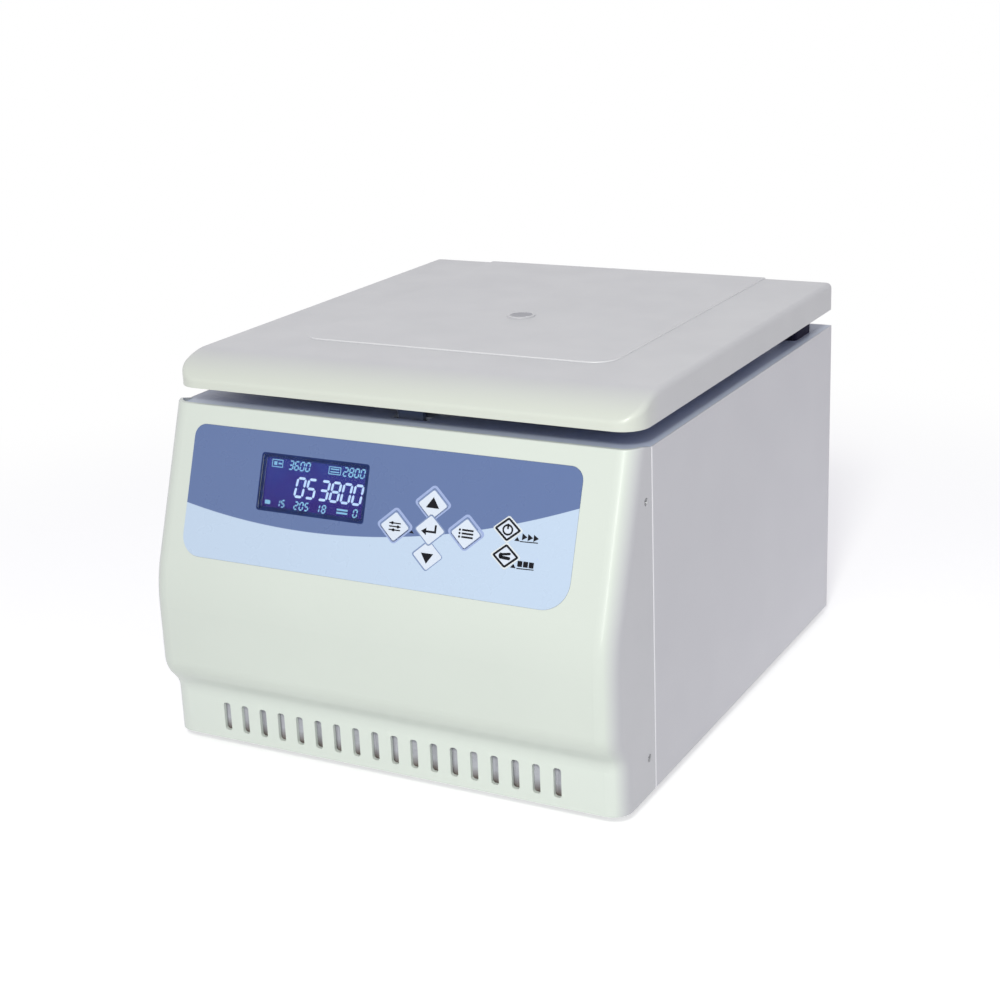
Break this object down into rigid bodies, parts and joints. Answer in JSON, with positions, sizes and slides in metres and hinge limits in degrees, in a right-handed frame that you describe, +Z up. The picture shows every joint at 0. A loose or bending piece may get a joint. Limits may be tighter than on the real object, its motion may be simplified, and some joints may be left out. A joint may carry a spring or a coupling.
{
  "type": "microplate centrifuge",
  "caption": "Bench centrifuge for microplates: bulged front with sloping keypad and display, hinged lid over a round steel chamber, swing-out rotor inside.",
  "frame": {"origin": "on the bench, under the middle of the body", "axes": "+Z up, -Y towards the user (keypad side), +X to the user's right"},
  "size_m": [0.44, 0.525, 0.3432],
  "materials": {
    "fascia_plastic": "moulded gloss",
    "lid_plastic": "moulded gloss",
    "cabinet_paint": "powder coat",
    "deck_paint": "powder coat",
    "base_steel": "zinc grey",
    "chamber_steel": "brushed",
    "screw_steel": "plain",
    "rubber_black": "matt",
    "overlay_film": "printed film",
    "key_film": "printed film",
    "window_clear": "clear acrylic",
    "sight_clear": "clear acrylic",
    "display_blue": "backlit panel",
    "board_green": "solder mask",
    "motor_alloy": "cast",
    "winding_copper": "lacquered",
    "fitting_black": "moulded"
  },
  "bodies": {
    "cabinet": {"front_fascia": "fascia_plastic", "fascia_screws": "screw_steel", "membrane_overlay": "overlay_film", "display_window": "window_clear", "lcd_module": "display_blue", "control_board": "board_green", "cabinet_shell": "cabinet_paint", "base_plate": "base_steel", "rubber_feet": "rubber_black", "foot_screws": "screw_steel", "top_deck": "deck_paint", "chamber_bowl": "chamber_steel", "chamber_seal": "rubber_black", "chamber_guard": "base_steel", "motor_isolators": "rubber_black", "motor_plate": "base_steel", "motor_housing": "motor_alloy", "motor_bearings": "screw_steel", "motor_stator": "winding_copper", "shaft_boot": "rubber_black", "hinge_brackets": "chamber_steel", "hinge_pins": "chamber_steel", "hinge_springs": "screw_steel", "lock_housing": "chamber_steel", "lock_solenoid": "winding_copper", "fan_frame": "fitting_black", "power_inlet": "fitting_black", "inlet_screws": "screw_steel", "switch_frame": "fitting_black", "fuse_holder": "fitting_black", "rear_screws": "screw_steel", "drive_unit": "motor_alloy", "wiring_loom": "fitting_black"},
    "lid": {"lid_cover": "lid_plastic", "lid_plate": "deck_paint", "lid_stiffener": "base_steel", "sight_window": "sight_clear", "sight_bezel": "lid_plastic", "striker": "chamber_steel", "lid_screws": "screw_steel", "hinge_leaves": "chamber_steel"},
    "rotor": {"drive_shaft": "chamber_steel", "motor_armature": "winding_copper", "rotor_yoke": "motor_alloy", "trunnion_pins": "chamber_steel", "rotor_nut": "motor_alloy"},
    "bucket_right": {"bucket_right": "motor_alloy", "bucket_pad_right": "rubber_black"},
    "bucket_left": {"bucket_left": "motor_alloy", "bucket_pad_left": "rubber_black"},
    "key_up": {"key_up": "key_film"},
    "key_set": {"key_set": "key_film"},
    "key_enter": {"key_enter": "key_film"},
    "key_prog": {"key_prog": "key_film"},
    "key_down": {"key_down": "key_film"},
    "key_start": {"key_start": "key_film"},
    "key_stop": {"key_stop": "key_film"},
    "rocker": {"power_rocker": "fitting_black"},
    "latch_bolt": {"lock_bolt": "chamber_steel"},
    "impeller": {"fan_impeller": "fitting_black"}
  },
  "joints": [
    {"name": "lid_hinge", "type": "hinge", "parent": "cabinet", "child": "lid", "pos_m": [0, 0.2545, 0.309], "axis": [-1, 0, 0], "range_deg": [0, 80]},
    {"name": "rotor_spin", "type": "hinge", "parent": "cabinet", "child": "rotor", "pos_m": [0, 0.03, 0.2], "axis": [0, 0, 1], "continuous": true},
    {"name": "bucket_right_swing", "type": "hinge", "parent": "rotor", "child": "bucket_right", "pos_m": [0.08, 0.03, 0.246], "axis": [0, -1, 0], "range_deg": [0, 90]},
    {"name": "bucket_left_swing", "type": "hinge", "parent": "rotor", "child": "bucket_left", "pos_m": [-0.08, 0.03, 0.246], "axis": [0, 1, 0], "range_deg": [0, 90]},
    {"name": "latch_slide", "type": "slide", "parent": "cabinet", "child": "latch_bolt", "axis": [0, 1, 0], "range_m": [0, 0.015]},
    {"name": "switch_tilt", "type": "hinge", "parent": "cabinet", "child": "rocker", "pos_m": [0.14, 0.2554, 0.104], "axis": [0, 0, -1], "range_deg": [0, 16]},
    {"name": "fan_spin", "type": "hinge", "parent": "cabinet", "child": "impeller", "pos_m": [-0.11, 0.245, 0.0952], "axis": [0, 1, 0], "continuous": true},
    {"name": "press_up", "type": "slide", "parent": "cabinet", "child": "key_up", "axis": [0, 0.9413, -0.3376], "range_m": [0, 0.0005], "stiffness_N_per_m": 400},
    {"name": "press_set", "type": "slide", "parent": "cabinet", "child": "key_set", "axis": [0, 0.9413, -0.3376], "range_m": [0, 0.0005], "stiffness_N_per_m": 400},
    {"name": "press_enter", "type": "slide", "parent": "cabinet", "child": "key_enter", "axis": [0, 0.9413, -0.3376], "range_m": [0, 0.0005], "stiffness_N_per_m": 400},
    {"name": "press_prog", "type": "slide", "parent": "cabinet", "child": "key_prog", "axis": [0, 0.9413, -0.3376], "range_m": [0, 0.0005], "stiffness_N_per_m": 400},
    {"name": "press_down", "type": "slide", "parent": "cabinet", "child": "key_down", "axis": [0, 0.9413, -0.3376], "range_m": [0, 0.0005], "stiffness_N_per_m": 400},
    {"name": "press_start", "type": "slide", "parent": "cabinet", "child": "key_start", "axis": [0, 0.9413, -0.3376], "range_m": [0, 0.0005], "stiffness_N_per_m": 400},
    {"name": "press_stop", "type": "slide", "parent": "cabinet", "child": "key_stop", "axis": [0, 0.9413, -0.3376], "range_m": [0, 0.0005], "stiffness_N_per_m": 400}
  ]
}
